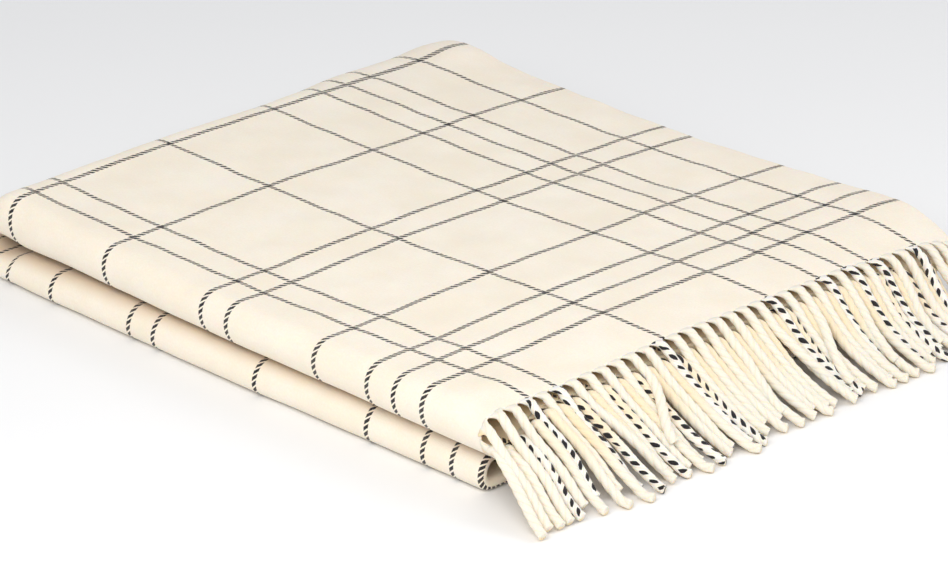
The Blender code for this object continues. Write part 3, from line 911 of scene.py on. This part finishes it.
def strand_rings(paths, first_side, phase, hand, sides):
    """Rings of points along the paths, and each ring's map.

    A ring is an oval of the table's half width and height. Its radius shrinks between the
    plies by a share of 1 - cos of the turned angle times their number. The map holds the
    turned angle in turns, and the way along the strand in metres. The last array tells how far
    the ring faces the open, 1 at most, or the pile, -1 at most.
    """
    side, up = frames(paths, first_side)
    lengths = path_length(paths.transpose(1, 0, 2)).T
    from_edge = lengths + ROOT_START
    wide, high, depth = (through(HALF_WIDTH, column, from_edge)[..., None] for column in (1, 2, 3))
    angle = np.linspace(0, 2 * np.pi, sides + 1)[None, None, :]
    pitch = TWIST * (1 + UNEVEN_TWIST * chance(np.arange(len(paths)), PITCH_SALT))[:, None, None]
    along = from_edge[..., None]
    twisted_by = hand[:, None, None] * ease(along, 0, TWISTED_BY) * along / pitch
    turned = angle + 2 * np.pi * (phase[:, None, None] + twisted_by)
    radius = 1 - PLY_GROOVE * depth * (1 - np.cos(PLIES * turned)) / 2
    radius[:, -1] *= TIP
    spoke = (
        (wide * radius * np.cos(angle))[..., None] * side[:, :, None]
        + (high * radius * np.sin(angle))[..., None] * up[:, :, None]
    )
    along = np.broadcast_to(lengths[..., None] * 0.001, turned.shape)
    # How far each ring faces the open or the pile; the side towards the pile gets painted golden shade.
    outward = unit(spoke) @ OPEN_WAY
    return paths[:, :, None] + spoke, np.stack([turned / (2 * np.pi), along], axis=-1), outward


def make_strands(name, paths, first_side, dark, phase, hand, depth, sides, finish):
    """One piece of closed strands: quads round each, and a flat end at its root and tip.

    depth tells for each step of each path how deep it lies among other strands, 0 to 1, and sets
    its painted golden shade.
    """
    ring, ring_map, outward = strand_rings(paths, first_side, phase, hand, sides)
    strands, steps = paths.shape[:2]
    index = np.arange(strands * steps * sides).reshape(strands, steps, sides)
    wrapped = np.concatenate([index, index[:, :, :1]], axis=2)

    def corners(grid):
        return np.stack([grid[:, :-1, :-1], grid[:, :-1, 1:], grid[:, 1:, 1:], grid[:, 1:, :-1]], axis=3)

    quads = corners(wrapped).reshape(-1, 4)
    quad_map = corners(ring_map)
    root_ends, tip_ends = index[:, 0, ::-1], index[:, -1]
    each = lambda values: np.repeat(values, steps * sides)
    end_maps = [ring_map[:, 0, -2::-1], ring_map[:, -1, :-1]]
    return make_mesh(
        name, ring[:, :, :-1].reshape(-1, 3), [quads, root_ends, tip_ends], [quad_map] + end_maps, finish,
        dark=each(dark), phase=each(phase), hand=each(hand), outward=outward[:, :, :-1],
        depth=np.repeat(depth, sides),
    )


print("plies turn once in", TWIST, "mm")

# %% [markdown]
# ## Twisted wool
#
# A strand is bright on its plies, with painted tan shade in the grooves between them and painted
# golden shade on the side that faces its neighbours, for light that has bounced between cream
# yarns. Where a dark line of the check runs into the fringe, its two dark yarns are twisted in,
# and they come up to the surface as slanted dashes, one on each ply in turn. The turned angle
# in the map makes both the groove shade and the dashes follow the twist, however the strand bends.

# %% Twisted wool
STRAND_CREAM = (0.81, 0.76, 0.655, 1)
STRAND_WHITE = (0.83, 0.795, 0.73, 1)
# Colour of the painted golden shade on the strands' sides, under other strands and in the ply grooves.
GOLDEN_SHADE = (0.84, 0.66, 0.40, 1)
DASH_PITCH, DASH_SLIP, DASH_WIDE, DASH_LONG = 0.001 * TWIST / PLIES, 0.5, 0.25, 0.16


def twisted_wool():
    """Cream plies, painted golden shade between the strands and in the grooves, with dashes on the dark
    ones.
    """
    finish = Finish("twisted wool", 0.88)
    thread_map = finish.add("UVMap", {"uv_map": "thread map"}, {}).outputs[0]
    turns, along, _ = finish.parts(thread_map)
    dark, phase = finish.value_of("dark"), finish.value_of("phase")
    past_dash = (along / DASH_PITCH + phase * 3) % 1.0 - 0.5
    slip = finish.value_of("hand") * past_dash * DASH_SLIP
    from_crest = abs((turns * PLIES + 0.5) % 1.0 - 0.5)
    from_axis = abs((turns * PLIES - slip + 0.5) % 1.0 - 0.5)
    fibre_place = finish.vector((turns * 0.02).socket, (along * 0.25).socket, phase.socket)
    fibre = Term(finish, finish.noise(fibre_place, 900.0, 4.0, 0.65).outputs["Fac"])

    worn = Term(finish, finish.noise(fibre_place, 260.0, 1.0).outputs["Fac"])
    spot = from_axis / DASH_WIDE + past_dash * past_dash / DASH_LONG
    spot = spot + (fibre - 0.5) * 0.5 + (worn - 0.5) * 2.0
    dash = (1 - finish.step(spot, 0.85, 1.1)) * dark
    # The grooves between the plies give the relief, and a share of them gives the painted tan shade in
    # the colour.
    groove = finish.step(from_crest + (fibre - 0.5) * 0.1, 0.36, 0.5)
    # Painted shade: the side that faces the pile, and strands that lie under others, turn golden.
    pile_shade = 1 - finish.step(finish.value_of("outward") + (fibre - 0.5) * 0.2, -0.75, 0.15)
    pile_shade = finish.math("MAXIMUM", pile_shade, finish.value_of("depth") * 0.6)
    pale = finish.blend(dark, STRAND_CREAM, STRAND_WHITE)
    pale = finish.blend(finish.math("MAXIMUM", groove * 0.3, pile_shade), pale, GOLDEN_SHADE)
    charcoal = finish.blend(finish.step(fibre, 0.5, 0.75), CHARCOAL, CHARCOAL_NAP)
    finish.feed(finish.shader.inputs["Base Color"], finish.blend(dash, pale, charcoal))

    yarn = abs((turns * PLIES * 4) % 1.0 - 0.5)
    relief = yarn * 0.5 + fibre * 0.9 - groove * 0.8
    values = {"Height": relief, "Strength": 0.55, "Distance": 0.0006}
    finish.feed(finish.shader.inputs["Normal"], finish.add("Bump", {}, values).outputs[0])
    soften(finish, 0.006)
    return finish.material


twisted = twisted_wool()
print("nodes in", twisted.name, len(twisted.node_tree.nodes))

# %% [markdown]
# ## The hanging fringe
#
# Each strand starts inside the cloth's edge, so that its yarns run on from the weave, and
# follows the solid fringe's path down to the floor. A strand is dark where one of the check's
# lines lies within its share of the cloth. The strays that were listed above drift and rise over
# their neighbours, and the strands of the inner leaf are raised a little near their roots, so
# that they fill the gaps between those of the top leaf, as they do where wool springs up.

# %% Hanging fringe
NEAR_LIFT, UNDER_LIFT, LEFT_HANDED_OVER = 15.0, 5.0, 0.4
STRAY_DRIFTS, STRAY_RISES = (0.15, 1.05), (0.1, 0.45)
RAISED_BY, LOWERED_BY, OPEN_BY = 0.14, (0.3, 0.9), (0.3, 0.7)


def strand_counts(section, places):
    """Yarn count across the cloth at each strand's root."""
    fine = section(LEAF_FINE, NOSE_FINE)
    length = path_length(fine)
    outer = len(LEAF_FINE)
    sides = count(SIDE_COUNT, fine[:, 1])
    sides[outer - 1:] = sides[outer - 1] + (length[outer - 1:] - length[outer - 1]) / ACROSS_YARN / 1000
    return np.interp(places * length[-1], length, sides)


def is_dark(counts):
    """1 for a strand whose share of the yarns takes in a dark line."""
    lines = np.array(SIDE_LINES) + FIRST_SIDE_LINE
    lines = np.concatenate([lines, lines + REPEAT])
    share = np.abs(np.diff(counts)).mean() / 2
    return (np.abs(counts[:, None] - lines[None, :]).min(axis=1) < share).astype(float)


counts = strand_counts(lambda leaf, nose: upper_section(FRINGE_END, leaf, nose), ROOT_PLACES)
dark = is_dark(counts)
phase = (chance(np.arange(STRANDS), PHASE_SALT) + 1) / 2
hand = np.where(chance(np.arange(STRANDS), HAND_SALT) > LEFT_HANDED_OVER, -1.0, 1.0)
first_side = unit(np.gradient(necks[:, 0], axis=0))
strand_share = np.concatenate([np.zeros(len(neck_places)), fall_shares])
for strand, drift, lift, _ in STRAYS:
    paths[strand, :, 1] += drift * ease(strand_share, *STRAY_DRIFTS)
    paths[strand, :, 2] += lift * ease(strand_share, *STRAY_RISES)
upper = turn < 0.5
by_nose = ease(past_nose, 0, 2) * (1 - ease(past_nose, 4, 7))
near_root = ease(strand_share, 0, RAISED_BY) * (1 - ease(strand_share, *LOWERED_BY))
lifted = np.maximum(NEAR_LIFT * by_nose, UNDER_LIFT * ease(past_nose, 3, 6))
paths[:, :, 2] += lifted[:, None] * near_root
# Painted golden shade on the under strands, full by their roots where strands of the top leaf cover them.
covered_shade = ease(past_nose, 2, 6)[:, None] * (1 - ease(strand_share, *OPEN_BY))
for name, chosen in (("upper_strands", upper), ("under_strands", ~upper)):
    made = make_strands(
        name, paths[chosen], first_side[chosen], dark[chosen], phase[chosen], hand[chosen],
        covered_shade[chosen], SIDES, twisted,
    )
    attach(made, "root")
    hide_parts("end_fringe")
print("dark strands", int(dark.sum()), "of", STRANDS)

# %% [markdown]
# ## The tucked fringe
#
# The other end of the throw is turned in and lies inside the lower roll, with its fringe
# straight behind it. It is only glimpsed through the roll's open end, so its strands have the
# same shape with fewer sides.

# %% Tucked fringe
TUCKED_STRAND, TUCKED_STEPS, TUCKED_SIDES, SWAY, SWAY_LENGTH = 100.0, 24, 10, 1.5, 23
tuck_end = TURN_IN - TUCK_LENGTH


def tucked_section(leaf, nose):
    """Section at the edge of the turned-in end."""
    return lower_section(tuck_end, leaf, nose, 2 * TURN_RADIUS)


tucked_places = np.concatenate([
    tuck_end + FRINGE_END - neck_places,
    tuck_end - GAP - STRIP_WIDTH - TUCKED_STRAND * np.linspace(0, 1, TUCKED_STEPS),
])
at_end = even_line(tucked_section, ROOT_PLACES)
tucked_paths = np.repeat(at_end[:, None], len(tucked_places), axis=1)
tucked_paths[:, :, 0] = tucked_places
sway = SWAY * np.sin(tucked_places / SWAY_LENGTH)
tucked_paths[:, :, 1] += sway[None, :] * chance(np.arange(STRANDS), SWAY_SALT)[:, None]
tucked_dark = is_dark(strand_counts(tucked_section, ROOT_PLACES))
# The tucked strands lie among others all along, so they carry the painted golden shade everywhere.
tucked = make_strands(
    "tucked_strands", tucked_paths, unit(np.gradient(at_end, axis=0)), tucked_dark, phase, hand,
    np.ones((STRANDS, len(tucked_places))), TUCKED_SIDES, twisted,
)
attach(tucked, "root")
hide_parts("tucked_fringe")

# %% [markdown]
# ## Floor
#
# The throw lies on a plain pale floor: one large square, a hair below the cloth.

# %% Floor
FLOOR_HALF, FLOOR_BELOW = 6.0, 0.0003
floor_mesh = bpy.data.meshes.new("floor")
ways = ((-1, -1), (1, -1), (1, 1), (-1, 1))
corners = [(x * FLOOR_HALF, y * FLOOR_HALF, -FLOOR_BELOW) for x, y in ways]
floor_mesh.from_pydata(corners, [], [(0, 1, 2, 3)])
floor_finish = Finish("floor", 0.7)
place = floor_finish.add("TexCoord", {}, {}).outputs["Object"]
cloudy = Term(floor_finish, floor_finish.noise(place, 1.5, 3.0).outputs["Fac"])
floor_colour = floor_finish.blend(cloudy, (0.90, 0.90, 0.905, 1), (0.93, 0.93, 0.93, 1))
floor_finish.feed(floor_finish.shader.inputs["Base Color"], floor_colour)
floor_mesh.materials.append(floor_finish.material)
floor = bpy.data.objects.new("floor", floor_mesh)
bpy.context.collection.objects.link(floor)
print("floor", 2 * FLOOR_HALF, "m wide")

# %% [markdown]
# ## Light
#
# The photograph's light is soft. A wide soft box in front lights the noses and lets the far end
# fall off a little, a weaker one stands by the fringe, and an even sky fills in the rest.

# %% Light
def soft_box(name, place, aim, width, height, power, colour):
    """Area light at a place, turned to face another."""
    data = bpy.data.lights.new(name, "AREA")
    data.shape, data.size, data.size_y = "RECTANGLE", width, height
    data.energy, data.color = power, colour
    light = bpy.data.objects.new(name, data)
    light.location = place
    away = np.array(place, float) - np.array(aim, float)
    light.rotation_euler = (
        math.atan2(math.hypot(away[0], away[1]), away[2]), 0, math.atan2(away[1], away[0]) + math.pi / 2
    )
    bpy.context.collection.objects.link(light)


soft_box("front box", (1.3, -1.9, 1.9), (0.1, -0.1, 0.0), 2.2, 1.4, 50, (1.0, 0.99, 0.975))
soft_box("side box", (2.0, 1.2, 1.8), (0.0, 0.0, 0.0), 1.6, 1.2, 17, (1.0, 1.0, 1.0))
world = bpy.data.worlds.new("studio")
world.use_nodes = True
sky = world.node_tree.nodes["Background"]
sky.inputs["Color"].default_value = (0.97, 0.98, 1.0, 1)
sky.inputs["Strength"].default_value = 0.625
bpy.context.scene.world = world
bpy.context.scene.view_settings.view_transform = "Standard"

# %% [markdown]
# ## Camera
#
# The camera stands well back with a long lens, so the check hardly tapers. Its place and angles
# were worked out from the check's crossings, which are square to each other on the cloth.

# %% Camera
LENS, CAMERA_PLACE, LOOKS_DOWN, TURNED_BY = 172.56, np.array([3.342, -2.696, 1.802]), 23.02, 45.17
lens = bpy.data.cameras.new("camera")
lens.lens, lens.sensor_width, lens.clip_end = LENS, 36.0, 100.0
camera = bpy.data.objects.new("camera", lens)
camera.location = CAMERA_PLACE + SHIFT
camera.rotation_euler = (math.radians(90 - LOOKS_DOWN), 0.0, math.radians(TURNED_BY))
bpy.context.collection.objects.link(camera)
bpy.context.scene.camera = camera
print("camera", round(float(np.linalg.norm(camera.location)), 2), "m from the throw")

# %% [markdown]
# ## Last update
#
# The view layer is brought up to date.

# %% Update
bpy.context.view_layer.update()
